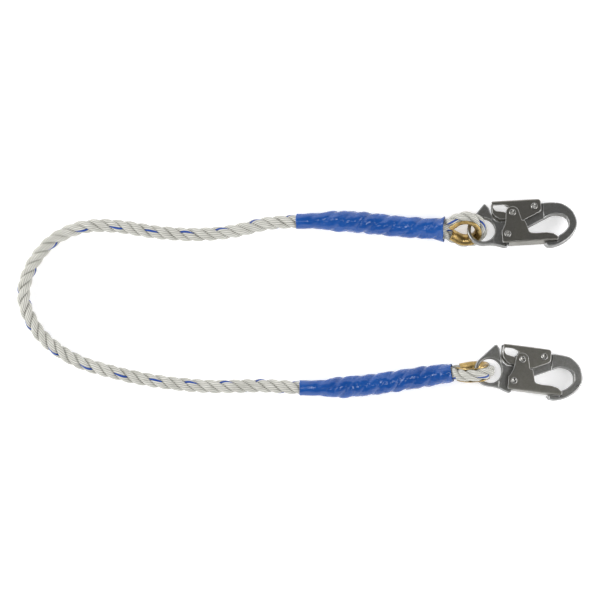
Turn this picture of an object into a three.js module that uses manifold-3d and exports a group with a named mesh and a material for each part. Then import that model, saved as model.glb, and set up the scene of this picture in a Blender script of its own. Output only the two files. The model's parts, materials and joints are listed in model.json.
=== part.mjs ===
// Rope lanyard with a thimble eye and a double-locking snap hook at each end.
// Millimetres, +Z up. It lies on the plane Z = 0 with both hooks pointing along +X, and the
// origin is under the middle of everything but the free stretch of rope.
import * as THREE from 'three';
import { mergeVertices } from 'three/addons/utils/BufferGeometryUtils.js';
import Module from 'manifold-3d';

const wasm = await Module();
wasm.setup();

// ---------------------------------------------------------------- driving dimensions
const GAP = 0.3; // between pieces that touch or turn on each other

const ROPE_DIAMETER = 16.2; // three-strand rope, free stretch
const EYE_ROPE_DIAMETER = 14; // the same rope pulled tight round a thimble
const SPLICE_DIAMETER = 22.6; // rope with the tucked strands, under the sleeve
const ROPE_TUCK = 5; // how far the free stretch runs into a sleeve

const SLEEVE_WALL = 0.8; // shrunk plastic sleeve
const SLEEVE_STEP_START = 24; // from the mouth to where the splice begins to swell
const SLEEVE_STEP_END = 46; // from the mouth to the full splice diameter
const SLEEVE_FLARE = 20; // length of the flare over the two eye legs
const LEG_ROOM = 1.6; // the legs spread as they leave the sleeve
const LEG_EASE = 5.4; // beyond this and that room, a thicker eye rope spreads further
const LEG_CLOSING = 3.5; // each leg draws in by this from the thimble's ends to the sleeve

const THIMBLE_SHEET = 1.3;
const THIMBLE_RADIUS = 9.6; // inside the crown
const THIMBLE_LENGTH = 23.3; // from the throat of the eye to the crown's centre
const THIMBLE_START = 3; // from the throat to the thimble's square ends

const SHEET = 1.6; // pressed gate and trigger
const BODY_HALF = 3.5; // half thickness of the hook's body between the plates
const BOW_HALF = 4.75; // half thickness of the bow
const RING_HALF = 3.9; // half thickness of the eye ring
const RING_ZONE = 11.5; // from the ring's centre to where the ring's thickness ends
const BOW_ZONE = 15; // from the bow's centre back to where the bow's thickness starts
const BEVEL = 0.9; // broken edge of the forging
const RING_BEVEL = 1.3;

const RING_ROOM = 7.5; // the ring's hole takes the eye's rope and this much more, on the radius
const RING_WIDTH = 4.3;
const BOW_CENTRE = 89; // from the ring's centre to the bow's centre, along the hook
const LIP_GAP = 0.9; // lip of the nose to the gate's web
const HUB_RADIUS = 8.4; // body round the gate's pivot

const RIVET_RADIUS = 3;
const PIN_RADIUS = 2.6; // lock pin
const HEAD_RADIUS = 4.2;
const HEAD_HEIGHT = 1.3;
const DIMPLE_RADIUS = 2.8;
const DIMPLE_DEPTH = 1.1;

const GATE_PIVOT = new THREE.Vector2(28.5, -9);
const LOCK_PIN = new THREE.Vector2(36.6, 17.5);
const TRIGGER_PIVOT = new THREE.Vector2(63.4, 24.5);
const GATE_DEPTH = 10.6; // pivot to the outside of the gate's web
const TRIGGER_DEPTH = 9.8; // pivot to the outside of the trigger's web
const GATE_OPEN = THREE.MathUtils.degToRad(27);
const TRIGGER_PRESS = THREE.MathUtils.degToRad(10);

const GATE_WIRE = 1;
const GATE_COIL_RADIUS = 5;
const GATE_COIL_TURNS = 1.5;
const TRIGGER_WIRE = 0.8;
const TRIGGER_COIL_RADIUS = 5.2;

// Layers of the hook, as distances from its middle plane.
const TRIGGER_INNER = BOW_HALF + GAP;
const TRIGGER_OUTER = TRIGGER_INNER + SHEET;
const GATE_INNER = TRIGGER_OUTER + GAP;
const GATE_OUTER = GATE_INNER + SHEET;

const ROPE_RADIUS = ROPE_DIAMETER / 2;
const EYE_ROPE_RADIUS = EYE_ROPE_DIAMETER / 2;
const RING_HOLE_RADIUS = EYE_ROPE_RADIUS + RING_ROOM;
const RING_OUTER = RING_HOLE_RADIUS + RING_WIDTH;
const RING_MIDDLE = RING_HOLE_RADIUS + RING_WIDTH / 2;
const SLEEVE_MOUTH = ROPE_RADIUS + GAP + SLEEVE_WALL; // outer radii of a sleeve
const SLEEVE_BODY = SPLICE_DIAMETER / 2 + GAP + SLEEVE_WALL;
const THIMBLE_GROOVE = EYE_ROPE_RADIUS + GAP;
const LEG_SPREAD = THIMBLE_RADIUS + THIMBLE_SHEET + THIMBLE_GROOVE; // half, at the crown
const THROAT_SPREAD = THIMBLE_SHEET + THIMBLE_GROOVE + GAP; // half, at the thimble's ends
const SLEEVED_SPREAD = THROAT_SPREAD - LEG_CLOSING; // half, where the legs leave the sleeve
const LEG_CLEARANCE = Math.max(LEG_ROOM, EYE_ROPE_RADIUS - LEG_EASE);
const SLEEVE_END = SLEEVED_SPREAD + EYE_ROPE_RADIUS + LEG_CLEARANCE + SLEEVE_WALL;

// The free stretch of rope as it lies, from sleeve A's mouth round the bight to sleeve B's.
const ROPE_ROUTE = [
  [-188, 93.6], [-212, 91], [-238, 84.5], [-262, 80.5], [-290, 78.6], [-318, 79.4],
  [-346, 82], [-374, 86.8], [-402, 89.4], [-428, 87.6], [-450, 80], [-470, 66.4],
  [-486, 47], [-496.4, 24], [-499, 4], [-494, -16], [-482, -37], [-466, -53.4],
  [-446, -67], [-424, -77], [-398, -84.6], [-370, -91.4], [-340, -97], [-308, -101],
  [-276, -103.2], [-244, -103], [-212, -102.4], [-184, -104],
];

// Each end: the sleeve's centre line from mouth to thimble, as it lies, the throat of the
// eye, the angles in degrees at which the eye and the hook lie, and where the ring's wire
// passes the eye, from the crown's centre: outwards, across the eye and out of its plane.
const ENDS = {
  a: {
    sleeve: [
      [-172, 94.2, SLEEVE_MOUTH + 0.1], [-150, 94.9, 10.9], [-128, 94.6, SLEEVE_BODY],
      [-100, 93.6, SLEEVE_BODY], [-72, 90.4, SLEEVE_BODY], [-43, 87.6, SLEEVE_BODY],
      [-16, 85.8, SLEEVE_BODY + 0.9], [4, 84.6, SLEEVE_END + 1],
    ],
    throat: [7.6, 84.3, SLEEVE_END + 1.4],
    eye: { heading: 1, pitch: 6, roll: 39 },
    hook: { heading: 3.4, roll: 18, wireAt: [3, -1.2, 2.5] },
  },
  b: {
    sleeve: [
      [-168, -105, SLEEVE_MOUTH + 0.1], [-144, -105.2, 10.9], [-118, -104.2, SLEEVE_BODY],
      [-88, -101.6, SLEEVE_BODY], [-58, -97.6, SLEEVE_BODY], [-28, -92.8, SLEEVE_BODY + 0.9],
      [-4, -89.2, SLEEVE_BODY + 2.8], [14, -86.6, SLEEVE_END + 3.6],
    ],
    throat: [17.6, -86.2, SLEEVE_END + 3.8],
    eye: { heading: 2, pitch: 16, roll: 103 },
    hook: { heading: -7.2, roll: 9, wireAt: [2.4, 0, -3] },
  },
};

// ---------------------------------------------------------------- materials
const metal = (color, roughness) =>
  new THREE.MeshStandardMaterial({ color, roughness, metalness: 1 });
const fibre = (color, roughness) =>
  new THREE.MeshStandardMaterial({ color, roughness, metalness: 0 });
const ROPE = fibre(0xc8c8c3, 0.85);
const SLEEVE = fibre(0x2154a5, 0.3);
const BRASS = metal(0x9c7c3c, 0.35);
const FORGED = metal(0x8c8c88, 0.45);
const PRESSED = metal(0x8f9092, 0.38);
const RIVET = metal(0xa0a0a0, 0.35);
const SPRING = metal(0x77777a, 0.4);

// ---------------------------------------------------------------- solids
function solid(geometry) {
  const bare = geometry.index ? geometry.toNonIndexed() : geometry.clone();
  bare.deleteAttribute('normal');
  bare.deleteAttribute('uv');
  const merged = mergeVertices(bare, 1e-4);
  const triVerts = new Uint32Array(merged.index.array);
  const vertProperties = new Float32Array(merged.attributes.position.array);
  return new wasm.Manifold(new wasm.Mesh({ numProp: 3, vertProperties, triVerts }));
}

function geometryOf(manifold) {
  const { vertProperties, triVerts } = manifold.getMesh();
  const geometry = new THREE.BufferGeometry();
  geometry.setAttribute('position', new THREE.BufferAttribute(vertProperties, 3));
  geometry.setIndex(new THREE.BufferAttribute(triVerts, 1));
  return geometry;
}

function named(name, shape, material) {
  const geometry = shape.isBufferGeometry ? shape : geometryOf(shape);
  const mesh = new THREE.Mesh(geometry, material);
  mesh.name = name;
  return mesh;
}

// A slab of an outline between two heights, with an optional bevel inside those heights.
function slab(outline, low, high, bevel = 0) {
  const shape = outline.isShape ? outline : new THREE.Shape(outline);
  const geometry = new THREE.ExtrudeGeometry(shape, {
    depth: high - low - 2 * bevel, bevelEnabled: bevel > 0, bevelThickness: bevel,
    bevelSize: bevel, bevelOffset: -bevel, bevelSegments: 1, curveSegments: 10, steps: 1,
  });
  return solid(geometry.translate(0, 0, low + bevel));
}

function sweep(outline, path, steps) {
  const shape = new THREE.Shape(outline);
  return new THREE.ExtrudeGeometry(shape, { steps, extrudePath: path, bevelEnabled: false });
}

function block(low, high) {
  const size = new THREE.Vector3().subVectors(high, low);
  const middle = new THREE.Vector3().addVectors(low, high).multiplyScalar(0.5);
  const geometry = new THREE.BoxGeometry(size.x, size.y, size.z);
  return solid(geometry.translate(middle.x, middle.y, middle.z));
}

function rod(centre, radius, low, high) {
  const geometry = new THREE.CylinderGeometry(radius, radius, high - low, 24);
  geometry.rotateX(Math.PI / 2);
  return solid(geometry.translate(centre.x, centre.y, (low + high) / 2));
}

// ---------------------------------------------------------------- outlines
const points = (pairs) => pairs.map(([x, y]) => new THREE.Vector2(x, y));

const curved = (pairs, divisions) =>
  new THREE.SplineCurve(points(pairs)).getPoints(divisions);

function arc(centre, radius, from, to, divisions) {
  const angles = [from, to].map(THREE.MathUtils.degToRad);
  const curve = new THREE.EllipseCurve(
    centre.x, centre.y, radius, radius, angles[0], angles[1], to < from);
  return curve.getPoints(divisions);
}

// The rounding of one corner between two others.
function fillet(previous, corner, next, radius) {
  const before = previous.clone().sub(corner).normalize();
  const after = next.clone().sub(corner).normalize();
  const half = Math.acos(THREE.MathUtils.clamp(before.dot(after), -1, 1)) / 2;
  const reach = radius / Math.tan(half);
  const start = before.multiplyScalar(reach).add(corner);
  const end = after.multiplyScalar(reach).add(corner);
  return new THREE.QuadraticBezierCurve(start, corner, end).getPoints(4);
}

// Straight sides whose corners are rounded; each corner is [x, y, radius]. A run that is
// part of a longer outline is given the points that it comes from and goes on to.
function rounded(corners, from, to) {
  const at = points(corners);
  const last = at.length - 1;
  return corners.flatMap(([, , radius = 0], i) => {
    const previous = i === 0 ? from ?? at[last] : at[i - 1];
    const next = i === last ? to ?? at[0] : at[i + 1];
    return radius === 0 ? [at[i]] : fillet(previous, at[i], next, radius);
  });
}

function circle(radius, sides) {
  return arc(new THREE.Vector2(), radius, 0, 360, sides).slice(0, -1);
}

// A slot between two points, with round ends.
function capsule(p, q, radius) {
  const along = THREE.MathUtils.radToDeg(Math.atan2(q.y - p.y, q.x - p.x));
  return [...arc(q, radius, along - 90, along + 90, 8), ...arc(p, radius, along + 90, along + 270, 8)];
}

// ---------------------------------------------------------------- rope, sleeves, thimbles
// Bends a solid made round the Y axis so that Y runs along a curve.
function bend(geometry, curve) {
  const position = geometry.attributes.position;
  const length = curve.getLength();
  const up = new THREE.Vector3(0, 0, 1);
  for (let i = 0; i < position.count; i += 1) {
    const along = THREE.MathUtils.clamp(position.getY(i) / length, 0, 1);
    const tangent = curve.getTangentAt(along);
    const side = new THREE.Vector3().crossVectors(tangent, up).normalize();
    const over = new THREE.Vector3().crossVectors(side, tangent);
    const at = curve.getPointAt(along);
    at.addScaledVector(side, position.getX(i)).addScaledVector(over, position.getZ(i));
    position.setXYZ(i, at.x, at.y, at.z);
  }
  return geometry;
}

const sleeveCurve = (end) =>
  new THREE.CatmullRomCurve3(end.sleeve.map((p) => new THREE.Vector3(...p)), false, 'centripetal');

// Outer radius of a sleeve at stations along it, shrunk by the given amount.
function sleeveStations(length, shrink) {
  const flareStart = length - SLEEVE_FLARE;
  const rows = [
    [0, SLEEVE_MOUTH], [SLEEVE_STEP_START, SLEEVE_MOUTH], [SLEEVE_STEP_END, SLEEVE_BODY],
  ];
  const plain = 4;
  for (let i = 1; i <= plain; i += 1) {
    const along = THREE.MathUtils.lerp(SLEEVE_STEP_END, flareStart, i / plain);
    rows.push([along, SLEEVE_BODY]);
  }
  rows.push([length - SLEEVE_FLARE / 2, (SLEEVE_BODY + 2 * SLEEVE_END) / 3]);
  rows.push([length, SLEEVE_END]);
  return rows.map(([along, radius]) => new THREE.Vector2(radius - shrink, along));
}

function sleeve(end) {
  const curve = sleeveCurve(end);
  const length = curve.getLength();
  const outer = sleeveStations(length, 0);
  const inner = sleeveStations(length, SLEEVE_WALL).reverse();
  const profile = [...outer, ...inner, outer[0]];
  return solid(bend(new THREE.LatheGeometry(profile, 20), curve));
}

// Half of the eye's rope centre line, in the eye's plane: from inside the sleeve to the crown.
function legCurve() {
  const flat = (x, y) => new THREE.Vector3(x, y, 0);
  const leg = new THREE.CurvePath();
  const throat = flat(THIMBLE_START, THROAT_SPREAD);
  const shoulder = flat(THIMBLE_LENGTH, LEG_SPREAD);
  leg.add(new THREE.CubicBezierCurve3(
    flat(-14, SLEEVED_SPREAD - 2), flat(-7, SLEEVED_SPREAD - 1.6),
    flat(THIMBLE_START - 4, THROAT_SPREAD - 2.2), throat));
  leg.add(new THREE.CubicBezierCurve3(
    throat, flat(THIMBLE_START + 6, THROAT_SPREAD + 3.3),
    flat(THIMBLE_LENGTH - 11, LEG_SPREAD), shoulder));
  return leg;
}

// The whole eye: one leg, round the crown and back down the other, from a share of the leg on.
class EyeLoop extends THREE.Curve {
  constructor(start = 0) {
    super();
    this.leg = legCurve();
    this.start = start;
    this.legLength = this.leg.getLength() * (1 - start);
    this.total = 2 * this.legLength + Math.PI * LEG_SPREAD;
  }

  getPoint(t, target = new THREE.Vector3()) {
    const along = Math.min(t, 1 - t) * this.total;
    const side = t < 0.5 ? 1 : -1;
    if (along < this.legLength) {
      const share = this.start + (1 - this.start) * (along / this.legLength);
      const at = this.leg.getPoint(Math.min(share, 1));
      return target.set(at.x, side * at.y, 0);
    }
    const angle = (along - this.legLength) / LEG_SPREAD;
    const x = THIMBLE_LENGTH + LEG_SPREAD * Math.sin(angle);
    return target.set(x, side * LEG_SPREAD * Math.cos(angle), 0);
  }
}

// One side of the eye's rope, from inside the sleeve to the middle of the crown.
class EyeHalf extends THREE.Curve {
  constructor(side) {
    super();
    this.loop = new EyeLoop();
    this.side = side;
  }

  getPoint(t, target = new THREE.Vector3()) {
    const at = this.loop.getPoint(t / 2, target);
    const across = t < 1 ? this.side * at.y : 0;
    return target.set(at.x, across, 0);
  }
}

// The share of the leg at which it passes the thimble's square end.
function thimbleShare() {
  const leg = legCurve();
  return leg.getCurveLengths()[0] / leg.getLength();
}

function eyeGroup(end) {
  const group = new THREE.Group();
  const { heading, pitch, roll } = end.eye;
  const [h, p, r] = [heading, -pitch, roll].map(THREE.MathUtils.degToRad);
  group.rotation.set(r, p, h, 'ZYX');
  group.position.set(...end.throat);
  group.updateMatrixWorld(true);
  return group;
}

function eyeSplice(end) {
  const place = eyeGroup(end).matrixWorld;
  const [left, right] = [1, -1].map((side) => {
    const half = sweep(circle(EYE_ROPE_RADIUS, 12), new EyeHalf(side), 22);
    return solid(half.applyMatrix4(place));
  });
  const curve = sleeveCurve(end);
  const length = curve.getLength();
  const stations = sleeveStations(length, SLEEVE_WALL + GAP);
  const core = stations.filter((row) => row.y > ROPE_TUCK + GAP && row.y < length);
  core.unshift(new THREE.Vector2(SLEEVE_MOUTH - SLEEVE_WALL - GAP, ROPE_TUCK + GAP));
  const last = core.at(-1);
  const profile = [
    new THREE.Vector2(0, core[0].y), ...core, new THREE.Vector2(0, last.y + 0.001),
  ];
  const splice = bend(new THREE.LatheGeometry(profile, 16), curve);
  return solid(splice).add(left.add(right));
}

// Half-round channel, open away from the eye.
function thimbleSection() {
  const centre = new THREE.Vector2();
  const inner = arc(centre, THIMBLE_GROOVE, -90, 90, 8);
  const outer = arc(centre, THIMBLE_GROOVE + THIMBLE_SHEET, 90, -90, 8);
  return [...inner, ...outer].map((p) => new THREE.Vector2(p.y, -p.x));
}

function ropeRoute() {
  const inSleeve = (end) => {
    const curve = sleeveCurve(end);
    return curve.getPointAt(ROPE_TUCK / curve.getLength());
  };
  const rise = (SLEEVE_MOUTH + ROPE_RADIUS) / 2; // where the rope lifts into a sleeve's mouth
  const lying = ROPE_ROUTE.map(([x, y], i) => {
    const nearEnd = i === 0 || i === ROPE_ROUTE.length - 1;
    return new THREE.Vector3(x, y, nearEnd ? rise : ROPE_RADIUS + 0.05);
  });
  const mouths = [ENDS.a, ENDS.b].map((end) => new THREE.Vector3(...end.sleeve[0]));
  const route = [inSleeve(ENDS.a), mouths[0], ...lying, mouths[1], inSleeve(ENDS.b)];
  return new THREE.CatmullRomCurve3(route, false, 'centripetal');
}

// ---------------------------------------------------------------- hook
// Hook frame: X from the ring's centre to the nose, Y to the spine, Z across the plates.
const BOW = (pairs) => pairs.map(([x, y]) => [BOW_CENTRE + x, y]);
const GATE_BOTTOM = GATE_PIVOT.y - GATE_DEPTH;
const TRIGGER_TOP = TRIGGER_PIVOT.y + TRIGGER_DEPTH;
const LIP_TOP = GATE_BOTTOM - LIP_GAP;
const GATE_TIP = BOW_CENTRE - 0.6;
const THROAT_CORNER = new THREE.Vector2(52, -1);

function bodyOutline() {
  const ringStart = arc(new THREE.Vector2(), RING_OUTER, -80, -221.7, 18);
  const bowOuter = curved([
    [70, 29], ...BOW([[-10, 29.4], [4, 28.5], [12.2, 24.8], [20, 17], [23.4, 8], [24, 1.5]]),
    ...BOW([[22, -6], [14, -16], [3, -23], [-8, -26.2]]),
  ], 24);
  const lug = rounded([
    [4.6, 33.4, 2], [9.3, 27.4], [10.6, 21.4], [14, 12, 5], [19, 8.8, 4], [42, 8.6, 2],
    [52, 24], [54, 28.6, 2],
  ], ringStart.at(-1), bowOuter[0]);
  const lip = points(BOW([
    [-14.4, -25.4], [-16.8, -23.3], [-17.2, LIP_TOP - 0.9], [-15.6, LIP_TOP], [-1.2, LIP_TOP],
    [-0.2, LIP_TOP + 0.8], [-0.2, -14.6],
  ]));
  const bowlLow = curved(BOW([[0.6, -12.9], [6, -10], [11, -5.6], [14.1, -1]]), 6);
  const bowlHigh = curved(BOW([[14.1, 3], [12.8, 7.6], [8.6, 12.2], [0, 14.3], [-7, 13.2],
    [-14, 9.9]]), 12);
  const hub = arc(GATE_PIVOT, HUB_RADIUS, -44, -89, 6);
  const corner = fillet(bowlHigh.at(-1), THROAT_CORNER, hub[0], 1.6);
  const heel = points([
    [28.4, -20.6], [27.4, -22.6], [25.6, -23.3], [23, -22.8], [13.8, -19.7], [8, -18.9],
  ]);
  return [...ringStart, ...lug, ...bowOuter, ...lip, ...bowlLow, ...bowlHigh, ...corner,
    ...hub, ...heel];
}

// The ring's hole, opened out by the bevel at both faces.
function ringHole() {
  const [wide, straight] = [RING_HOLE_RADIUS + RING_BEVEL, RING_HALF - RING_BEVEL];
  const profile = points([
    [0, -RING_HALF - 1], [wide + 1, -RING_HALF - 1], [RING_HOLE_RADIUS, -straight],
    [RING_HOLE_RADIUS, straight], [wide + 1, RING_HALF + 1], [0, RING_HALF + 1],
  ]);
  return solid(new THREE.LatheGeometry(profile, 32).rotateX(Math.PI / 2));
}

function hookBody() {
  const outline = bodyOutline();
  const reach = 200;
  const zone = (from, to) => block(
    new THREE.Vector3(from, -reach, -reach), new THREE.Vector3(to, reach, reach));
  const ring = slab(outline, -RING_HALF, RING_HALF, RING_BEVEL).intersect(zone(-reach, RING_ZONE));
  const bowStart = BOW_CENTRE - BOW_ZONE;
  const bow = slab(outline, -BOW_HALF, BOW_HALF, BEVEL).intersect(zone(bowStart, reach));
  let body = slab(outline, -BODY_HALF, BODY_HALF, BEVEL / 2).add(ring).add(bow);
  const cuts = [
    ringHole(),
    rod(GATE_PIVOT, RIVET_RADIUS + GAP, -reach, reach),
    rod(TRIGGER_PIVOT, RIVET_RADIUS + GAP, -reach, reach),
  ];
  cuts.forEach((cut) => {
    body = body.subtract(cut);
  });
  return body;
}

// A pressed channel: a web whose outside lies at webAt on Y and two plates that run from it.
function channel(from, to, webAt, towards, inner, outer) {
  const depth = 60;
  const bendRadius = outer - inner + 0.8;
  const side = (half, radius, shift) => {
    const top = webAt + towards * shift;
    const far = webAt + towards * depth;
    return [[-half, far], [-half, top, radius], [half, top, radius], [half, far]];
  };
  const outside = rounded(side(outer, bendRadius, 0));
  const inside = rounded(side(inner, bendRadius - (outer - inner), outer - inner));
  const section = new THREE.Shape([...outside, ...inside.reverse()]);
  const geometry = new THREE.ExtrudeGeometry(section, { depth: to - from, bevelEnabled: false });
  geometry.rotateY(Math.PI / 2);
  return solid(geometry.translate(from, 0, 0));
}

function gate() {
  const outline = [
    ...arc(LOCK_PIN, 8, 26, 180, 14),
    ...points([[27.5, 8], [26.5, 4]]),
    ...rounded([
      [21.7, -4, 2], [21.7, GATE_BOTTOM, 2], [GATE_TIP - 1, GATE_BOTTOM, 1],
      [GATE_TIP, GATE_BOTTOM + 1.2, 0.4], [GATE_TIP, -15.5, 1.4], [GATE_TIP - 5.4, -11.3, 3],
      [GATE_TIP - 13.4, -9.6, 2], [62, -9.6, 3], [54.6, -8.6, 4], [52.9, -1, 2], [50.2, 8.3, 3],
    ]),
  ];
  const reach = 40;
  const side = slab(outline, -reach, reach);
  const web = GATE_PIVOT.x + 1;
  let shape = channel(0, BOW_CENTRE + reach, GATE_BOTTOM, 1, GATE_INNER, GATE_OUTER);
  shape = shape.intersect(side);
  const heelGap = block(
    new THREE.Vector3(-reach, GATE_BOTTOM - 1, -GATE_INNER),
    new THREE.Vector3(web, GATE_BOTTOM + 6, GATE_INNER));
  shape = shape.subtract(heelGap);
  shape = shape.subtract(rod(GATE_PIVOT, RIVET_RADIUS + GAP, -reach, reach));
  return shape.subtract(rod(LOCK_PIN, PIN_RADIUS + GAP, -reach, reach));
}

// Where the lock pin stands in the trigger at a share of the gate's opening.
function pinInTrigger(share) {
  const at = LOCK_PIN.clone().rotateAround(GATE_PIVOT, GATE_OPEN * share);
  return at.rotateAround(TRIGGER_PIVOT, -TRIGGER_PRESS * share);
}

function trigger() {
  const outline = rounded([
    [12.8, TRIGGER_TOP, 1], [69.8, TRIGGER_TOP - 0.5, 2.4], [71.7, 31, 2], [71.7, 20, 2],
    [69.2, 17.3, 2], [50.2, 8.3, 1.5], [27, 10.4, 3], [20.5, 10.8, 5], [12.8, 18, 6],
  ]);
  const reach = 40;
  const side = slab(outline, -reach, reach);
  const channelSolid = channel(0, 100, TRIGGER_TOP, -1, TRIGGER_INNER, TRIGGER_OUTER);
  let shape = channelSolid.intersect(side);
  const upperWindow = rounded([
    [14.2, 26, 2], [15.2, 29.4, 1.5], [24.5, 29.6, 3], [33, 26.4, 0.8], [26, 20, 1.5],
    [16.6, 21.6, 4],
  ]);
  const lowerWindow = rounded([
    [14.4, 26, 2], [15, TRIGGER_TOP - 1.6, 1.5], [29, TRIGGER_TOP - 1.6, 3], [34, 28, 2],
    [29, 18, 2], [17.6, 17, 4],
  ]);
  const webSide = TRIGGER_INNER - 0.8;
  const webGap = block(
    new THREE.Vector3(-reach, TRIGGER_TOP - 4, -webSide),
    new THREE.Vector3(34, TRIGGER_TOP + 1, webSide));
  shape = shape.subtract(slab(upperWindow, 0, reach));
  shape = shape.subtract(slab(lowerWindow, -reach, 0));
  shape = shape.subtract(webGap);
  const steps = 4;
  for (let i = 0; i < steps; i += 1) {
    const [p, q] = [pinInTrigger(i / steps), pinInTrigger((i + 1) / steps)];
    shape = shape.subtract(slab(capsule(p, q, PIN_RADIUS + GAP), -reach, reach));
  }
  return shape.subtract(rod(TRIGGER_PIVOT, RIVET_RADIUS + GAP, -reach, reach));
}

// A headed rivet across the hook, with a dimple in each head.
function rivet(centre, radius, seat) {
  const head = seat + GAP + HEAD_HEIGHT;
  const upper = [
    [0, head - DIMPLE_DEPTH], [DIMPLE_RADIUS, head], [HEAD_RADIUS - 0.8, head],
    [HEAD_RADIUS, head - 0.6], [HEAD_RADIUS, seat + GAP], [radius, seat + GAP],
  ];
  const lower = upper.map(([r, y]) => [r, -y]);
  const geometry = new THREE.LatheGeometry(points([...lower, ...upper.reverse()]), 16);
  geometry.rotateX(Math.PI / 2);
  return solid(geometry.translate(centre.x, centre.y, 0));
}

class Coil extends THREE.Curve {
  // A straight leg, a coil about Z from one height to another, and a second leg.
  constructor(centre, radius, low, high, from, turns, legs) {
    super();
    Object.assign(this, { centre, radius, low, high, from, turns, legs });
    this.arcLength = Math.PI * 2 * turns * radius;
    this.total = legs[0] + this.arcLength + legs[1];
  }

  getPoint(t, target = new THREE.Vector3()) {
    const along = t * this.total - this.legs[0];
    const share = THREE.MathUtils.clamp(along / this.arcLength, 0, 1);
    const angle = this.from + share * this.turns * Math.PI * 2;
    const past = along - share * this.arcLength;
    const x = this.centre.x + this.radius * Math.cos(angle) - past * Math.sin(angle);
    const y = this.centre.y + this.radius * Math.sin(angle) + past * Math.cos(angle);
    return target.set(x, y, THREE.MathUtils.lerp(this.low, this.high, share));
  }
}

function gateSpring() {
  const low = BODY_HALF + GAP + GATE_WIRE / 2;
  const high = GATE_INNER - GAP - GATE_WIRE / 2;
  const coil = new Coil(
    GATE_PIVOT, GATE_COIL_RADIUS, low, high, Math.PI / 2, GATE_COIL_TURNS, [7, 17]);
  return solid(sweep(circle(GATE_WIRE / 2, 6), coil, 30));
}

function triggerSpring() {
  const middle = (BODY_HALF + TRIGGER_INNER) / 2;
  const coil = new Coil(
    TRIGGER_PIVOT, TRIGGER_COIL_RADIUS, middle, middle, -Math.PI * 0.45, 0.45 + 0.03, [13, 11]);
  return solid(sweep(circle(TRIGGER_WIRE / 2, 6), coil, 18));
}

const RINGED = {
  hook_body: [hookBody(), FORGED],
  gate: [gate(), PRESSED],
  trigger: [trigger(), PRESSED],
  gate_pivot_rivet: [rivet(GATE_PIVOT, RIVET_RADIUS, GATE_OUTER), RIVET],
  trigger_pivot_rivet: [rivet(TRIGGER_PIVOT, RIVET_RADIUS, TRIGGER_OUTER), RIVET],
  lock_pin: [rivet(LOCK_PIN, PIN_RADIUS, GATE_OUTER), RIVET],
  gate_spring: [gateSpring(), SPRING],
  trigger_spring: [triggerSpring(), SPRING],
};

// Turns a hook about its ring so that it hangs in the eye and its lowest point lies at Z = 0.
function layHook(group, end) {
  const eye = eyeGroup(end);
  const { heading, roll, wireAt } = end.hook;
  const [out, across, over] = wireAt;
  const wire = eye.localToWorld(new THREE.Vector3(THIMBLE_LENGTH + out, across, over));
  const [h, r] = [heading, -roll].map(THREE.MathUtils.degToRad);
  const lowest = (pitch) => {
    group.rotation.set(r, pitch, h, 'ZYX');
    const arm = new THREE.Vector3(RING_MIDDLE, 0, 0).applyEuler(group.rotation);
    group.position.copy(wire).add(arm);
    group.updateMatrixWorld(true);
    return new THREE.Box3().setFromObject(group, true).min.z;
  };
  let [flat, steep] = [-0.2, 0.6];
  for (let i = 0; i < 30; i += 1) {
    const pitch = (flat + steep) / 2;
    if (lowest(pitch) > 0.02) {
      flat = pitch;
    } else {
      steep = pitch;
    }
  }
  lowest(flat);
}

function hook(letter) {
  const group = new THREE.Group();
  Object.entries(RINGED).forEach(([piece, [shape, material]]) => {
    group.add(named(`hook_${letter}_${piece}`.replace('hook_body', 'body'), shape, material));
  });
  return group;
}

// ---------------------------------------------------------------- lanyard
const lanyard = new THREE.Group();
lanyard.add(named('rope', sweep(circle(ROPE_RADIUS, 10), ropeRoute(), 54), ROPE));
Object.entries(ENDS).forEach(([letter, end]) => {
  const eye = eyeGroup(end);
  const thimble = sweep(thimbleSection(), new EyeLoop(thimbleShare()), 32);
  eye.add(named(`thimble_${letter}`, solid(thimble), BRASS));
  const hung = hook(letter);
  layHook(hung, end);
  lanyard.add(named(`eye_splice_${letter}`, eyeSplice(end), ROPE));
  lanyard.add(named(`sleeve_${letter}`, sleeve(end), SLEEVE));
  lanyard.add(eye, hung);
});

export default lanyard;
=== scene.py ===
# Rope lanyard with two thimble eyes and two double-locking snap hooks, lying on a pale floor
# and seen from straight above.
import json
import math

import bpy
import numpy as np
from mathutils import Matrix, Vector, noise


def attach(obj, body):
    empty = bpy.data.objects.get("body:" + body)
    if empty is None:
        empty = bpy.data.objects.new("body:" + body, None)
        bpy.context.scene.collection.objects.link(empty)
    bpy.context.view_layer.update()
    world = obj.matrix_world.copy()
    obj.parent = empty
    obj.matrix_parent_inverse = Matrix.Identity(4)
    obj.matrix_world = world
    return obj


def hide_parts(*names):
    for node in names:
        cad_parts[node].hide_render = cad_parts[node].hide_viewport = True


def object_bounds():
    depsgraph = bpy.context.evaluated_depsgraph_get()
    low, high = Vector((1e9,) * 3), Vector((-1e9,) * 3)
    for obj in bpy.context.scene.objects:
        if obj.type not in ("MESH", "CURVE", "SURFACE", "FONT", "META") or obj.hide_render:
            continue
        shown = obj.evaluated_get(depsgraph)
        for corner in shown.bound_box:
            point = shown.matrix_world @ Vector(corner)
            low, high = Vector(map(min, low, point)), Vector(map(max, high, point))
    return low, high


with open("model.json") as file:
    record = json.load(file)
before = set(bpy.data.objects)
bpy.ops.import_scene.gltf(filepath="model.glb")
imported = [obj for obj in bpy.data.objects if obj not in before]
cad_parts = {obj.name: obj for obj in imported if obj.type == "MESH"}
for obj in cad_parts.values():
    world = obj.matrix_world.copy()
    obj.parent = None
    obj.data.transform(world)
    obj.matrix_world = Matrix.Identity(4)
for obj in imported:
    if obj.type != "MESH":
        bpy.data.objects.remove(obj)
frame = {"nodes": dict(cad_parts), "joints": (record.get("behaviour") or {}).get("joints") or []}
CAD_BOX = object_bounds()
MM = 0.001

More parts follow.
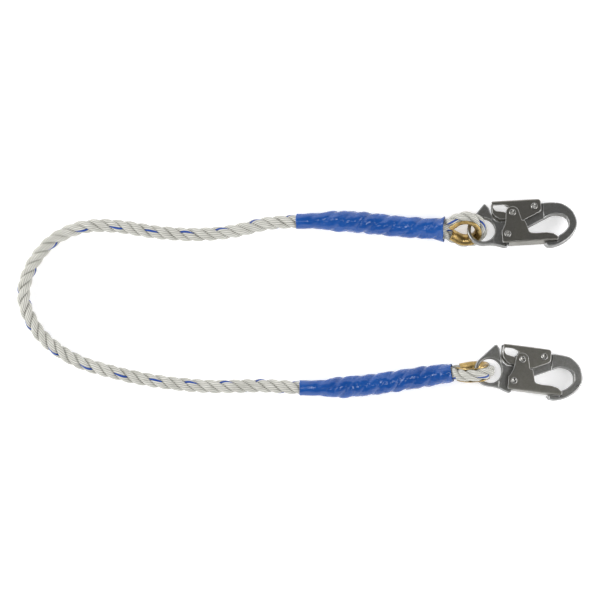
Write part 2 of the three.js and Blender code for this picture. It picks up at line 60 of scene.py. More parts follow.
# ---------------------------------------------------------------- sizes, in millimetres
ROPE_RADIUS = 8.1
EYE_ROPE_RADIUS = 7.0
ROPE_LAY = 45.0  # one turn of a strand round the free rope
EYE_LAY = 41.0
YARN_TURNS = 2.12  # turns of a yarn round its strand in one lay, the other way
YARNS = 9
YARN_POINTS = 6  # mesh points across one yarn
YARN_RIDGE = 0.6  # height of a yarn above the grooves beside it
YARN_WAVE = 0.16  # how far one yarn stands out or in, along its length
STRAND_WAVE = 0.045  # share of its radius that a strand swells and shrinks
LAY_WAVE = 0.16  # how far a strand strays round the rope, in radians
RING_STEP = 1.5  # mesh rings along a rope
ROPE_TUCK = 5.0  # how far the free rope goes into a sleeve

SLEEVE_WALL = 0.8
GAP = 0.3
SPLICE_RADIUS = 11.3
SLEEVE_MOUTH = ROPE_RADIUS + GAP + SLEEVE_WALL
SLEEVE_BODY = SPLICE_RADIUS + GAP + SLEEVE_WALL
SLEEVED_SPREAD = 5.4
LEG_CLEARANCE = 1.6
SLEEVE_END = SLEEVED_SPREAD + EYE_ROPE_RADIUS + LEG_CLEARANCE + SLEEVE_WALL
SLEEVE_FLAT = EYE_ROPE_RADIUS + GAP + SLEEVE_WALL  # half the sleeve's end, across the eye
SLEEVE_STEP = (24.0, 46.0)  # from the mouth: where the splice begins to swell, and is full
SLEEVE_FLARE = 20.0  # length over which the sleeve opens towards the eye
SLEEVE_SIDES = 120
SLEEVE_RING_STEP = 0.9
SLEEVE_PULL = 34.0  # how far back from the thimble the skin draws in over the legs
LEG_ROUNDING = 1.6  # more skin over each leg where they part
LIP_REACH = 3.5  # over which the sleeve's lip flares out
LAY_PITCH = 62.0  # of the big lumps round the sleeve, left by the splice's strands
TUCK_PITCH = 38.0  # of the small lumps across them
MEAN_LUMP = 0.64  # the mean of a rectified wave, taken off so that lumps go both ways
UV_STEP = 0.05  # texture units in a millimetre

THIMBLE_SHEET = 1.3
THIMBLE_GROOVE = EYE_ROPE_RADIUS + GAP
THIMBLE_RADIUS = 9.6
THIMBLE_LENGTH = 23.3
THIMBLE_START = 3.0  # where the thimble begins, along the eye's own axis
THIMBLE_RIPPLE = 0.1
LIP_ANGLE = 88.0  # the channel's lips, from its middle line
LEG_SPREAD = THIMBLE_RADIUS + THIMBLE_SHEET + THIMBLE_GROOVE
THROAT_SPREAD = THIMBLE_SHEET + THIMBLE_GROOVE + GAP

# The free stretch of rope as it lies, from sleeve A's mouth round the bight to sleeve B's.
ROPE_ROUTE = [
    (-188, 93.6), (-212, 91), (-238, 84.5), (-262, 80.5), (-290, 78.6), (-318, 79.4),
    (-346, 82), (-374, 86.8), (-402, 89.4), (-428, 87.6), (-450, 80), (-470, 66.4),
    (-486, 47), (-496.4, 24), (-499, 4), (-494, -16), (-482, -37), (-466, -53.4),
    (-446, -67), (-424, -77), (-398, -84.6), (-370, -91.4), (-340, -97), (-308, -101),
    (-276, -103.2), (-244, -103), (-212, -102.4), (-184, -104),
]

# Each end: the sleeve's centre line from mouth to thimble, the throat of the eye, how far the
# sleeve's lip flares, the heading, pitch and roll of the eye in degrees, the coloured yarn's
# number with how far into its lay the eye's rope starts, and a seed for the unevenness.
ENDS = {
    "a": {
        "sleeve": [
            (-172, 94.2, SLEEVE_MOUTH + 0.1), (-150, 94.9, 10.9), (-128, 94.6, SLEEVE_BODY),
            (-100, 93.6, SLEEVE_BODY), (-72, 90.4, SLEEVE_BODY), (-43, 87.6, SLEEVE_BODY),
            (-16, 85.8, SLEEVE_BODY + 0.9), (4, 84.6, SLEEVE_END + 1),
        ],
        "throat": (7.6, 84.3, SLEEVE_END + 1.4),
        "flare": 2.6,
        "eye": (1, 6, 39),
        "tracer": (8, 13.0),
        "seed": 3.0,
    },
    "b": {
        "sleeve": [
            (-168, -105, SLEEVE_MOUTH + 0.1), (-144, -105.2, 10.9), (-118, -104.2, SLEEVE_BODY),
            (-88, -101.6, SLEEVE_BODY), (-58, -97.6, SLEEVE_BODY), (-28, -92.8, SLEEVE_BODY + 0.9),
            (-4, -89.2, SLEEVE_BODY + 2.8), (14, -86.6, SLEEVE_END + 3.6),
        ],
        "throat": (17.6, -86.2, SLEEVE_END + 3.8),
        "flare": 0.5,
        "eye": (2, 16, 103),
        "tracer": (7, 20.0),
        "seed": 41.0,
    },
}

# The hook's frame: X from the ring's centre to the nose, Y to the spine, Z across the plates.
GATE_PIVOT = Vector((28.5, -9, 0))
TRIGGER_PIVOT = Vector((63.4, 24.5, 0))

# In metres: what the camera takes in across, and the floor's half size and place.
VIEW_WIDTH = 0.72
VIEW_MIDDLE = 0.471  # share of that width from the part's left side to the view's middle
FLOOR_HALF = 6.0
FLOOR_DROP = 0.0002


# ---------------------------------------------------------------- camera and light
def add_object(name, data):
    obj = bpy.data.objects.new(name, data)
    bpy.context.scene.collection.objects.link(obj)
    return obj


def add_camera():
    low, high = CAD_BOX
    data = bpy.data.cameras.new("camera")
    data.sensor_width = 36
    data.lens = 200
    data.clip_end = 20
    obj = add_object("camera", data)
    aim = Vector((low.x + VIEW_MIDDLE * VIEW_WIDTH, (low.y + high.y) / 2))
    obj.location = (*aim, VIEW_WIDTH * data.lens / data.sensor_width)
    obj.rotation_euler = (0, 0, 0)
    bpy.context.scene.camera = obj


def area_light(name, location, target, size, power):
    data = bpy.data.lights.new(name, "AREA")
    data.shape = "RECTANGLE"
    data.size, data.size_y = size
    data.energy = power
    obj = add_object(name, data)
    obj.location = location
    direction = Vector(target) - Vector(location)
    obj.rotation_euler = direction.to_track_quat("-Z", "Y").to_euler()
    obj.visible_camera = False


def add_light():
    world = bpy.data.worlds.new("studio")
    world.use_nodes = True
    tree = world.node_tree
    place = tree.nodes.new("ShaderNodeTexCoord")
    split = tree.nodes.new("ShaderNodeSeparateXYZ")
    tree.links.new(place.outputs["Generated"], split.inputs[0])
    height = ramp(tree, split.outputs["Z"], [
        (0.0, (1.0, 1.0, 1.0)), (0.42, (0.8, 0.8, 0.82)), (0.66, (0.17, 0.17, 0.178)),
        (0.8, (0.06, 0.06, 0.062)), (1.0, (0.07, 0.07, 0.071)),
    ])
    tree.links.new(height, tree.nodes["Background"].inputs["Color"])
    tree.nodes["Background"].inputs["Strength"].default_value = 1.7
    bpy.context.scene.view_settings.view_transform = "Standard"
    bpy.context.scene.world = world
    area_light("key", (-0.3, -0.1, 4.8), (-0.3, 0, 0), (1.7, 0.5), 38)
    area_light("left", (-2.4, 0.3, 1.4), (-0.1, 0, 0), (1.6, 1.6), 44)
    area_light("right", (2.1, -0.3, 1.4), (-0.1, 0, 0), (1.6, 1.6), 34)


def add_floor():
    data = bpy.data.meshes.new("floor")
    half = FLOOR_HALF
    corners = [(-half, -half, 0), (half, -half, 0), (half, half, 0), (-half, half, 0)]
    data.from_pydata(corners, [], [(0, 1, 2, 3)])
    obj = add_object("floor", data)
    obj.location.z = -FLOOR_DROP
    mat, tree, shader = new_material("floor", Roughness=0.7, **{
        "Specular IOR Level": 0.2, "Emission Color": (1, 1, 1, 1), "Emission Strength": 0.32})
    grain = noise_texture(tree, coordinates(tree, "Object"), 3.0)
    shade = grey_ramp(tree, grain, [(0.3, 0.86), (0.7, 0.89)])
    tree.links.new(shade, shader.inputs["Base Color"])
    data.materials.append(mat)


# ---------------------------------------------------------------- shader helpers
def new_material(name, **sockets):
    mat = bpy.data.materials.new(name)
    mat.use_nodes = True
    shader = mat.node_tree.nodes["Principled BSDF"]
    for socket, value in sockets.items():
        shader.inputs[socket].default_value = value
    return mat, mat.node_tree, shader


def coordinates(tree, kind, stretch=None):
    place = tree.nodes.new("ShaderNodeTexCoord")
    if stretch is None:
        return place.outputs[kind]
    mapping = tree.nodes.new("ShaderNodeMapping")
    mapping.inputs["Scale"].default_value = stretch
    tree.links.new(place.outputs[kind], mapping.inputs["Vector"])
    return mapping.outputs["Vector"]


def noise_texture(tree, vector, scale, detail=4.0, rough=0.55):
    node = tree.nodes.new("ShaderNodeTexNoise")
    node.inputs["Scale"].default_value = scale
    node.inputs["Detail"].default_value = detail
    node.inputs["Roughness"].default_value = rough
    tree.links.new(vector, node.inputs["Vector"])
    return node.outputs["Fac"]


def ramp(tree, factor, stops):
    node = tree.nodes.new("ShaderNodeValToRGB")
    elements = node.color_ramp.elements
    while len(elements) < len(stops):
        elements.new(0.5)
    for element, (position, colour) in zip(elements, stops):
        element.position = position
        element.color = (*colour, 1.0)
    tree.links.new(factor, node.inputs["Fac"])
    return node.outputs["Color"]


def grey_ramp(tree, factor, stops):
    return ramp(tree, factor, [(position, (value,) * 3) for position, value in stops])


# The colour sockets of a Mix node, which share their names with its number and vector ones.
MIX_FIRST, MIX_SECOND = 6, 7
MIX_RESULT = 2


def mix(tree, factor, first, second):
    """A blend of two colours, each a socket or a fixed colour, by a factor that is a socket."""
    node = tree.nodes.new("ShaderNodeMix")
    node.data_type = "RGBA"
    tree.links.new(factor, node.inputs["Factor"])
    for place, value in ((MIX_FIRST, first), (MIX_SECOND, second)):
        if isinstance(value, tuple):
            node.inputs[place].default_value = (*value, 1.0)
        else:
            tree.links.new(value, node.inputs[place])
    return node.outputs[MIX_RESULT]


def bump(tree, height, distance, strength, after=None):
    node = tree.nodes.new("ShaderNodeBump")
    node.inputs["Distance"].default_value = distance
    node.inputs["Strength"].default_value = strength
    tree.links.new(height, node.inputs["Height"])
    if after is not None:
        tree.links.new(after, node.inputs["Normal"])
    return node.outputs["Normal"]


def attribute(tree, name):
    node = tree.nodes.new("ShaderNodeAttribute")
    node.attribute_name = name
    return node.outputs["Fac"]


def pointiness(tree):
    return tree.nodes.new("ShaderNodeNewGeometry").outputs["Pointiness"]


# ---------------------------------------------------------------- materials
def fibre_material(name, pale, dark, groove_shade):
    mat, tree, shader = new_material(name, Roughness=0.78, **{
        "Specular IOR Level": 0.25, "Sheen Weight": 0.25, "Sheen Roughness": 0.4})
    along = coordinates(tree, "UV", (1.0, 0.06, 1.0))
    filament = noise_texture(tree, along, 34.0, 5.0, 0.6)
    soil = noise_texture(tree, coordinates(tree, "Object"), 26.0, 5.0, 0.6)
    fibre = ramp(tree, filament, [(0.3, dark), (0.62, pale)])
    soiled = mix(tree, grey_ramp(tree, soil, [(0.42, 0.0), (0.75, 0.45)]), fibre, dark)
    # Painted shade: the grooves between yarns and the sides of the strands that face into the rope
    # are darkened towards a groove colour.
    crease_shade = grey_ramp(tree, attribute(tree, "crease_shade"), [(0.0, 0.0), (1.0, 0.85)])
    colour = mix(tree, crease_shade, soiled, groove_shade)
    tree.links.new(colour, shader.inputs["Base Color"])
    tree.links.new(bump(tree, filament, 0.0004, 0.7), shader.inputs["Normal"])
    return mat


def sleeve_material():
    mat, tree, shader = new_material("shrink_sleeve", **{"Specular IOR Level": 0.55})
    place = coordinates(tree, "Object")
    cloud = noise_texture(tree, place, 22.0)
    colour = ramp(tree, cloud, [(0.3, (0.004, 0.05, 0.235)), (0.7, (0.007, 0.08, 0.335))])
    scuff = noise_texture(tree, coordinates(tree, "Object", (1.0, 2.2, 2.2)), 210.0, 6.0, 0.65)
    scuffed = mix(tree, grey_ramp(tree, scuff, [(0.62, 0.0), (0.8, 0.25)]), colour,
                  (0.05, 0.17, 0.5))
    tree.links.new(scuffed, shader.inputs["Base Color"])
    gloss = grey_ramp(tree, cloud, [(0.3, 0.14), (0.7, 0.26)])
    tree.links.new(gloss, shader.inputs["Roughness"])
    crinkle = noise_texture(tree, coordinates(tree, "Object", (0.7, 1.3, 1.3)), 120.0, 3.0, 0.55)
    skin = noise_texture(tree, place, 1400.0, 2.0, 0.5)
    soft = bump(tree, crinkle, 0.003, 0.4)
    tree.links.new(bump(tree, skin, 0.0002, 0.2, soft), shader.inputs["Normal"])
    return mat


def metal_material(name, pale, dark, edge_wear_and_highlight_colour, grain, patch, smoothness=(0.3, 0.5), depth=0.0003):
    """A plated metal: two tones in patches, a fine grain, and edges painted brighter, partly as
    wear and partly as a painted highlight.
    """
    mat, tree, shader = new_material(name, Metallic=1.0)
    place = coordinates(tree, "Object")
    tone = noise_texture(tree, place, patch, 6.0, 0.65)
    fine = noise_texture(tree, place, grain, 3.0, 0.6)
    base = ramp(tree, tone, [(0.34, dark), (0.62, pale)])
    speck = mix(tree, grey_ramp(tree, fine, [(0.35, 0.3), (0.6, 0.0)]), base, dark)
    # Edges found by pointiness are painted brighter: partly wear, partly a painted highlight in
    # place of the light along rounded edges.
    edge_wear_and_highlight = grey_ramp(tree, pointiness(tree), [(0.505, 0.0), (0.56, 0.9)])
    tree.links.new(mix(tree, edge_wear_and_highlight, speck, edge_wear_and_highlight_colour), shader.inputs["Base Color"])
    low, high = smoothness
    tree.links.new(grey_ramp(tree, tone, [(0.3, high), (0.7, low)]), shader.inputs["Roughness"])
    shallow = bump(tree, tone, 0.0012, 0.12)
    tree.links.new(bump(tree, fine, depth, 0.35, shallow), shader.inputs["Normal"])
    return mat


# ---------------------------------------------------------------- curves
def centripetal(points, per_segment=24):
    """Points along the centripetal Catmull-Rom curve through the given points."""
    p = np.array(points, float)
    p = np.vstack([2 * p[0] - p[1], p, 2 * p[-1] - p[-2]])
    share = np.linspace(0, 1, per_segment, endpoint=False)[:, None]
    rows = []
    for before, start, end, after in zip(p[:-3], p[1:-2], p[2:-1], p[3:]):
        spans = [math.sqrt(np.linalg.norm(b - a))
                 for a, b in ((before, start), (start, end), (end, after))]
        first, span, last = spans
        out = (start - before) / first - (end - before) / (first + span) + (end - start) / span
        into = (end - start) / span - (after - start) / (span + last) + (after - end) / last
        out, into = out * span, into * span
        cubic = 2 * start - 2 * end + out + into
        square = -3 * start + 3 * end - 2 * out - into
        rows.append(start + out * share + square * share ** 2 + cubic * share ** 3)
    return np.vstack([*rows, p[-2][None]])


def bezier(corners, count):
    share = np.linspace(0, 1, count)[:, None]
    a, b, c, d = (np.array(corner, float) for corner in corners)
    rest = 1 - share
    return rest ** 3 * a + 3 * rest ** 2 * share * b + 3 * rest * share ** 2 * c + share ** 3 * d


def lengths(line):
    steps = np.linalg.norm(np.diff(line, axis=0), axis=1)
    return np.concatenate([[0], np.cumsum(steps)])


def respaced(line, step):
    """The line with its points an even distance apart, and that distance along it."""
    along = lengths(line)
    count = max(int(round(along[-1] / step)), 2) + 1
    at = np.linspace(0, along[-1], count)
    return np.column_stack([np.interp(at, along, line[:, i]) for i in range(3)]), at


def tangents(line):
    slope = np.gradient(line, axis=0)
    return slope / np.linalg.norm(slope, axis=1)[:, None]


def carried_frames(line, first):
    """Side and over vectors that turn as little as they can along the line."""
    direction = tangents(line)
    side = np.empty_like(line)
    current = np.array(first, float)
    for i, along in enumerate(direction):
        current = current - along * current.dot(along)
        current = current / np.linalg.norm(current)
        side[i] = current
    return direction, side, np.cross(direction, side)


def level_frames(line):
    direction = tangents(line)
    side = np.cross(direction, (0, 0, 1))
    side = side / np.linalg.norm(side, axis=1)[:, None]
    return direction, side, np.cross(side, direction)


# ---------------------------------------------------------------- meshes
class Skin:
    """Collects grids of points, each wrapped round on itself, into one mesh."""

    def __init__(self):
        self.points = []
        self.faces = []
        self.uvs = []
        self.slots = []
        self.crease_shades = []
        self.count = 0

    def tube(self, rows, along, crease_shade, slots=None, loop=False):
        """Joins rings of points; a loop meets its own start, and anything else is capped."""
        rings, sides = rows.shape[:2]
        index = np.arange(rings * sides).reshape(rings, sides) + self.count
        if loop:
            index = np.vstack([index, index[:1]])
            along = np.append(along, along[-1] + (along[1] - along[0]))
        right = np.roll(index, -1, axis=1)
        quads = np.stack([index[:-1], right[:-1], right[1:], index[1:]], axis=-1)
        self.faces.extend(quads.reshape(-1, 4).tolist())
        across = np.arange(sides + 1) / sides
        u0, u1 = across[:-1], across[1:]
        for i in range(len(along) - 1):
            v0, v1 = along[i], along[i + 1]
            uv = np.empty((sides, 4, 2))
            uv[:, 0] = np.column_stack([u0, np.full(sides, v0)])
            uv[:, 1] = np.column_stack([u1, np.full(sides, v0)])
            uv[:, 2] = np.column_stack([u1, np.full(sides, v1)])
            uv[:, 3] = np.column_stack([u0, np.full(sides, v1)])
            self.uvs.append(uv.reshape(-1, 2))
            self.slots.append(np.zeros(sides, int) if slots is None else slots)
        self.points.append(rows.reshape(-1, 3))
        self.crease_shades.append(crease_shade.reshape(-1))
        self.count += rings * sides
        if not loop:
            for ring, turn in ((index[0], -1), (index[-1], 1)):
                self.faces.append(ring[::turn].tolist())
                self.uvs.append(np.zeros((sides, 2)))
                self.slots.append(np.zeros(1, int))

    def object(self, name, materials):
        data = bpy.data.meshes.new(name)
        data.from_pydata((np.vstack(self.points) * MM).tolist(), [], self.faces)
        layer = data.uv_layers.new(name="UVMap")
        layer.data.foreach_set("uv", np.vstack(self.uvs).reshape(-1))
        # The painted shade mask goes on the points, for the fibre shader to read.
        crease_shade = data.attributes.new("crease_shade", "FLOAT", "POINT")
        crease_shade.data.foreach_set("value", np.concatenate(self.crease_shades))
        for mat in materials:
            data.materials.append(mat)
        data.polygons.foreach_set("material_index", np.concatenate(self.slots))
        data.polygons.foreach_set("use_smooth", [True] * len(data.polygons))
        data.update()
        return add_object(name, data)


def wavy(x, y=0.0, z=0.0):
    return noise.noise(Vector((x, y, z)))


def laid_rope(name, line, first, radius, lay, seed, tracer, start=0.0):
    """Three strands of twisted yarns along a line, from a distance into the lay.

    The coloured yarn is the tracer-th of the first strand.
    """
    line, along = respaced(line, RING_STEP)
    direction, side, over = carried_frames(line, first)
    strand_radius = radius / 2
    turn = 2 * math.pi / lay
    lean = math.atan(turn * strand_radius)
    sides = YARNS * YARN_POINTS
    column = np.arange(sides)
    yarn = column // YARN_POINTS
    within = (column % YARN_POINTS + 0.5) / YARN_POINTS
    ridge = np.sin(np.pi * within) ** 0.7
    skin = Skin()
    for strand in range(3):
        rows = np.empty((len(line), sides, 3))
        crease_shade = np.empty((len(line), sides))
        for i, s in enumerate(along):
            sway = LAY_WAVE * wavy(s * 0.021, seed, strand)
            laid = turn * (s + start)
            theta = laid + strand * 2 * math.pi / 3 + sway
            out = math.cos(theta) * side[i] + math.sin(theta) * over[i]
            round_about = math.cos(theta) * over[i] - math.sin(theta) * side[i]
            forward = math.cos(lean) * direction[i] + math.sin(lean) * round_about
            across = np.cross(forward, out)
            phi = column * 2 * math.pi / sides - YARN_TURNS * laid
            swelling = STRAND_WAVE * wavy(s * 0.05, seed + 7, strand * 3.1)
            uneven = np.array([YARN_WAVE * wavy(n * 1.7, s * 0.03, seed + strand)
                               for n in range(YARNS)])
            height = (strand_radius * (1 + swelling) + (ridge - 0.8) * YARN_RIDGE
                      + uneven[yarn])
            rows[i] = (line[i] + strand_radius * out
                       + (height * np.cos(phi))[:, None] * out
                       + (height * np.sin(phi))[:, None] * across)
            # Painted shade mask: high in the grooves between yarns and on the side of each strand
            # that faces into the rope.
            inward = 0.5 - 0.5 * np.cos(phi)
            crease_shade[i] = np.clip(1.15 * (1 - ridge) + 1.3 * np.clip(inward - 0.3, 0, 1), 0, 1)
        slots = (yarn == tracer).astype(int) if strand == 0 else None
        skin.tube(rows, along * UV_STEP, crease_shade, slots)
    return skin.object(name, [ROPE_FIBRE, TRACER_FIBRE])


# ---------------------------------------------------------------- rope, eyes, sleeves, thimbles
def sleeve_line(end):
    return centripetal(end["sleeve"])


def rope_line():
    def in_sleeve(end):
        line = sleeve_line(end)
        along = lengths(line)
        return [np.interp(ROPE_TUCK, along, line[:, i]) for i in range(3)]

    rise = (SLEEVE_MOUTH + ROPE_RADIUS) / 2
    last = len(ROPE_ROUTE) - 1
    lying = [(x, y, rise if i in (0, last) else ROPE_RADIUS + 0.05)
             for i, (x, y) in enumerate(ROPE_ROUTE)]
    mouths = [ENDS[letter]["sleeve"][0] for letter in "ab"]
    return centripetal([in_sleeve(ENDS["a"]), mouths[0], *lying, mouths[1],
                        in_sleeve(ENDS["b"])])


def free_rope():
    line = rope_line()
    rope = laid_rope("laid_rope", line, (0, 0, 1), ROPE_RADIUS, ROPE_LAY, 11.0, 4)
    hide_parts("rope")
    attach(rope, "rope_assembly")


def eye_matrix(end):
    heading, pitch, roll = (math.radians(angle) for angle in end["eye"])
    turn = (Matrix.Rotation(heading, 4, "Z") @ Matrix.Rotation(-pitch, 4, "Y")
            @ Matrix.Rotation(roll, 4, "X"))
    return Matrix.Translation(end["throat"]) @ turn


def placed(points, matrix):
    turn = np.array(matrix.to_3x3())
    return points @ turn.T + np.array(matrix.translation)


def eye_leg(from_thimble=False):
    """Half of the eye's centre line in the eye's plane, up to where the crown begins."""
    throat = (THIMBLE_START, THROAT_SPREAD, 0)
    shoulder = (THIMBLE_LENGTH, LEG_SPREAD, 0)
    hidden = bezier([(-14, SLEEVED_SPREAD - 2, 0), (-7, SLEEVED_SPREAD - 1.6, 0),
                     (THIMBLE_START - 4, THROAT_SPREAD - 2.2, 0), throat], 24)
    spread = bezier([throat, (THIMBLE_START + 6, THROAT_SPREAD + 3.3, 0),
                     (THIMBLE_LENGTH - 11, LEG_SPREAD, 0), shoulder], 40)
    return spread if from_thimble else np.vstack([hidden[:-1], spread])


def eye_line(from_thimble=False):
    leg = eye_leg(from_thimble)
    angle = np.linspace(0, math.pi, 60)[1:-1]
    crown = np.column_stack([THIMBLE_LENGTH + LEG_SPREAD * np.sin(angle),
                             LEG_SPREAD * np.cos(angle), np.zeros(len(angle))])
    return np.vstack([leg, crown, leg[::-1] * (1, -1, 1)])


def eye_rope(letter, end):
    matrix = eye_matrix(end)
    line = placed(eye_line(), matrix)
    normal = matrix.to_3x3() @ Vector((0, 0, 1))
    rope = laid_rope(f"eye_rope_{letter}", line, normal, EYE_ROPE_RADIUS, EYE_LAY,
                     end["seed"], *end["tracer"])
    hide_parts(f"eye_splice_{letter}")
    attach(rope, "rope_assembly")


def sleeve_radius(s, length):
    """The skin's plain outer radius at a distance from the mouth, with its corners eased."""
    flare = length - SLEEVE_FLARE
    stations = [(0, SLEEVE_MOUTH), (SLEEVE_STEP[0], SLEEVE_MOUTH), (SLEEVE_STEP[1], SLEEVE_BODY),
                (flare, SLEEVE_BODY), (length, SLEEVE_END)]
    at = np.interp(s, *zip(*stations))
    near = [np.interp(s + shift, *zip(*stations)) for shift in (-5, -2.5, 2.5, 5)]
    return (at + sum(near)) / 5


def shrink_sleeve(letter, end):
    line, along = respaced(sleeve_line(end), SLEEVE_RING_STEP)
    direction, side, over = level_frames(line)
    length = along[-1]
    seed = end["seed"]
    eye_across = eye_matrix(end).to_3x3() @ Vector((0, 1, 0))
    tilt = math.atan2(eye_across.dot(Vector(over[-1])), eye_across.dot(Vector(side[-1])))
    angle = np.arange(SLEEVE_SIDES) * 2 * math.pi / SLEEVE_SIDES
    outer = np.empty((len(line), SLEEVE_SIDES, 3))
    inner = np.empty_like(outer)
    dips = np.empty((len(line), SLEEVE_SIDES))
    for i, s in enumerate(along):
        plain = sleeve_radius(s, length)
        swell = min(max((s - 8) / 30, 0.22), 1) * (1 + 0.5 * wavy(s * 0.045, seed))
        pull = min(max((s - length + SLEEVE_PULL) / SLEEVE_PULL, 0), 1) ** 1.5
        flat = plain + (SLEEVE_FLAT + LEG_ROUNDING - plain) * pull
        lip_flare = end["flare"] * math.exp((s - length) / LIP_REACH)
        across = angle - tilt
        oval = 1 / np.sqrt((np.cos(across) / plain) ** 2 + (np.sin(across) / flat) ** 2)
        warp = 2.6 * wavy(s * 0.06, seed + 3)
        lay_turn = (s + warp) * 2 * math.pi / LAY_PITCH
        tuck_turn = (s - warp) * 2 * math.pi / TUCK_PITCH
        strand = np.abs(np.cos(1.5 * (angle - lay_turn + seed)))
        tuck = np.abs(np.cos(1.5 * (angle - tuck_turn + seed * 2)))
        lumps = 1.5 * (strand - MEAN_LUMP) + 0.55 * (tuck - MEAN_LUMP)
        ring = np.column_stack([np.cos(angle), np.sin(angle)])
        rough = np.array([
            0.5 * wavy(x * 2.0 + seed, y * 2.0, s * 0.11)
            + 0.16 * wavy(x * 5.0, y * 5.0 + seed, s * 0.4) for x, y in ring])
        height = oval + lip_flare + swell * (0.95 * lumps + 0.9 * rough)
        spread = ring[:, :1] * side[i] + ring[:, 1:] * over[i]
        lip = 0.0
        if i in (0, len(line) - 1):
            lip = np.array([0.7 * wavy(x * 1.6 + seed, y * 1.6, 9) for x, y in ring])
        shift = np.outer(np.broadcast_to(lip, SLEEVE_SIDES), direction[i])
        outer[i] = line[i] + height[:, None] * spread + shift
        inner[i] = line[i] + (height - SLEEVE_WALL)[:, None] * spread + shift
        dips[i] = 1 - strand
    middle = [(outer[i] + inner[i]) / 2 + sign * 0.35 * direction[i]
              for i, sign in ((0, -1), (-1, 1))]
    rows = np.concatenate([middle[0][None], outer, middle[1][None], inner[::-1]])
    crease_shade = np.concatenate([dips[:1], dips, dips[-1:], dips[::-1]])
    skin = Skin()
    skin.tube(rows, np.arange(len(rows)) * SLEEVE_RING_STEP * UV_STEP, crease_shade, loop=True)
    piece = skin.object(f"shrink_sleeve_{letter}", [SLEEVE_SKIN])
    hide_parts(f"sleeve_{letter}")
    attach(piece, "rope_assembly")


def thimble_section():
    """The channel's section with rolled lips, as (towards the eye's middle, across) pairs."""
    middle = THIMBLE_GROOVE + THIMBLE_SHEET / 2
    half = THIMBLE_SHEET / 2
    sweep = np.radians(np.linspace(-LIP_ANGLE, LIP_ANGLE, 25))
    outer = [((middle + half) * math.cos(a), (middle + half) * math.sin(a)) for a in sweep]
    inner = [((middle - half) * math.cos(a), (middle - half) * math.sin(a))
             for a in sweep[::-1]]
    rows = []
    for run, end in ((outer, sweep[-1]), (inner, sweep[0])):
        rows.extend(run)
        sign = 1 if end > 0 else -1
        lip = (middle * math.cos(end), middle * math.sin(end))
        for turn in (45, 90, 135):
            swing = end + sign * math.radians(turn)
            start = half if sign > 0 else -half
            rows.append((lip[0] + start * math.cos(swing), lip[1] + start * math.sin(swing)))
    return np.array(rows)


def thimble(letter, end):
    line, along = respaced(eye_line(from_thimble=True), 1.0)
    direction = tangents(line)
    section = thimble_section()
    inward = np.cross((0, 0, 1), direction)
    inward = -inward if inward[len(line) // 2][0] > 0 else inward
    rows = np.empty((len(line), len(section), 3))
    for i, at in enumerate(line):
        near_end = min(along[i], along[-1] - along[i])
        shrink = 1 - 0.012 * max(1 - near_end / 2.0, 0)
        ripple = THIMBLE_RIPPLE * wavy(along[i] * 0.12, end["seed"])
        rows[i] = (at + ((section[:, 0] * shrink + ripple)[:, None] * inward[i])
                   + section[:, 1:] * shrink * np.array((0, 0, 1)))
    skin = Skin()
    rows = placed(rows.reshape(-1, 3), eye_matrix(end)).reshape(rows.shape)
    skin.tube(rows, along * UV_STEP, np.zeros(rows.shape[:2]))
    piece = skin.object(f"brass_thimble_{letter}", [BRASS])
    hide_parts(f"thimble_{letter}")
    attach(piece, "rope_assembly")


# ---------------------------------------------------------------- hooks
def hook_matrix(letter):
    """The hook's own frame, from its two pivots and their shared axis."""
    joints = {joint["name"]: joint for joint in frame["joints"]}
    gate = joints[f"hook_{letter}_gate_open"]
    trigger = joints[f"hook_{letter}_trigger_press"]
    axis = Vector(gate["axis"]).normalized()
    start, end = Vector(gate["pos_m"]), Vector(trigger["pos_m"])
    span = TRIGGER_PIVOT - GATE_PIVOT
    along = (end - start)
    along = (along - axis * along.dot(axis)).normalized()
    forward = Matrix.Rotation(-math.atan2(span.y, span.x), 3, axis) @ along
    turn = Matrix((forward, axis.cross(forward), axis)).transposed()
    return Matrix.Translation(start - turn @ (GATE_PIVOT * MM)) @ turn.to_4x4()


def cast_copy(name, node, matrix, voxel, passes, mat):
    """A finer mesh of a CAD solid with worn edges, remeshed square to the hook's own frame."""
    data = frame["nodes"][node].data.copy()
    data.transform(matrix.inverted())
    data.materials.clear()
    rough = add_object(name, data)
    remesh = rough.modifiers.new("remesh", "REMESH")
    remesh.mode = "VOXEL"
    remesh.voxel_size = voxel * MM
    smooth = rough.modifiers.new("smooth", "SMOOTH")
    smooth.factor = 0.5
    smooth.iterations = passes
    bpy.context.view_layer.update()
    shape = bpy.data.meshes.new_from_object(rough.evaluated_get(
        bpy.context.evaluated_depsgraph_get()))
    rough.modifiers.clear()
    rough.data = shape
    shape.transform(matrix)
    shape.polygons.foreach_set("use_smooth", [True] * len(shape.polygons))
    shape.materials.clear()
    shape.materials.append(mat)
    return rough


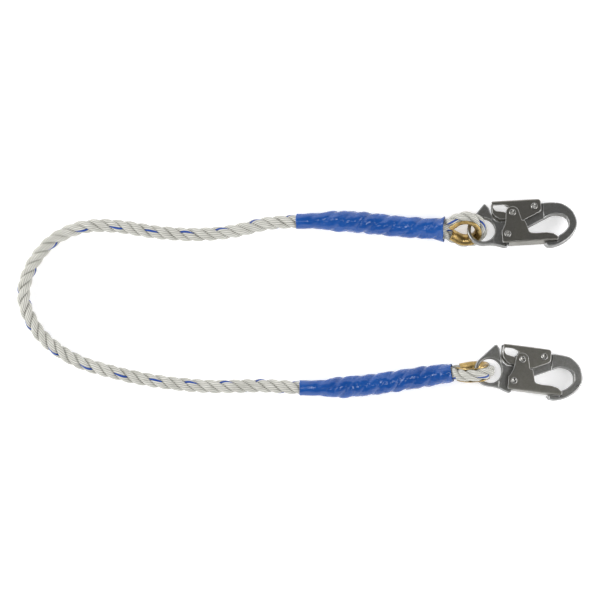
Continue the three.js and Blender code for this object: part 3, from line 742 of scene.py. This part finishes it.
HOOK_PIECES = {
    # node: (piece, body, record slot, voxel, smoothing passes)
    "body": ("forging", "hook", "forged_steel", 0.42, 9),
    "gate": ("gate_channel", "gate", "pressed_steel", 0.38, 2),
    "trigger": ("trigger_channel", "trigger", "pressed_steel", 0.38, 2),
    "gate_pivot_rivet": ("gate_rivet", "hook", "rivet_steel", 0.2, 3),
    "trigger_pivot_rivet": ("trigger_rivet", "hook", "rivet_steel", 0.2, 3),
    "lock_pin": ("lock_rivet", "gate", "rivet_steel", 0.2, 3),
}


def snap_hook(letter):
    matrix = hook_matrix(letter)
    finishes = {"forged_steel": FORGED, "pressed_steel": PRESSED, "rivet_steel": RIVET}
    for node, (name, body, slot, voxel, passes) in HOOK_PIECES.items():
        source = f"hook_{letter}_{node}"
        piece = cast_copy(f"{name}_{letter}", source, matrix, voxel, passes, finishes[slot])
        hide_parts(source)
        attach(piece, f"{body}_{letter}")
    for node in ("gate_spring", "trigger_spring"):
        data = frame["nodes"][f"hook_{letter}_{node}"].data
        data.materials.clear()
        data.materials.append(SPRING)


# ---------------------------------------------------------------- scene
# Each fibre's third colour is the painted shade in its grooves.
ROPE_FIBRE = fibre_material("rope_fibre", (0.77, 0.765, 0.71), (0.44, 0.435, 0.385),
                            (0.1, 0.098, 0.08))
TRACER_FIBRE = fibre_material("tracer_fibre", (0.016, 0.08, 0.40), (0.01, 0.05, 0.28),
                              (0.005, 0.02, 0.12))
SLEEVE_SKIN = sleeve_material()
# Each metal's third colour is its brighter edge, partly wear and partly painted highlight.
BRASS = metal_material("brass", (0.56, 0.40, 0.16), (0.25, 0.165, 0.055),
                       (0.8, 0.64, 0.34), 1500.0, 95.0, (0.2, 0.4))
FORGED = metal_material("forged_steel", (0.275, 0.275, 0.265), (0.165, 0.165, 0.152),
                        (0.68, 0.69, 0.7), 900.0, 110.0, (0.27, 0.44), 0.0004)
PRESSED = metal_material("pressed_steel", (0.255, 0.248, 0.222), (0.17, 0.165, 0.142),
                         (0.62, 0.62, 0.61), 1600.0, 60.0, (0.27, 0.4), 0.0002)
RIVET = metal_material("rivet_steel", (0.27, 0.268, 0.255), (0.15, 0.145, 0.13),
                       (0.7, 0.7, 0.7), 1500.0, 160.0, (0.2, 0.34), 0.0002)
SPRING = metal_material("spring_steel", (0.42, 0.42, 0.43), (0.26, 0.26, 0.26),
                        (0.6, 0.6, 0.6), 1800.0, 200.0, (0.25, 0.4), 0.0002)

add_camera()
free_rope()
add_light()
add_floor()
for letter, end in ENDS.items():
    eye_rope(letter, end)
    shrink_sleeve(letter, end)
    thimble(letter, end)
    snap_hook(letter)
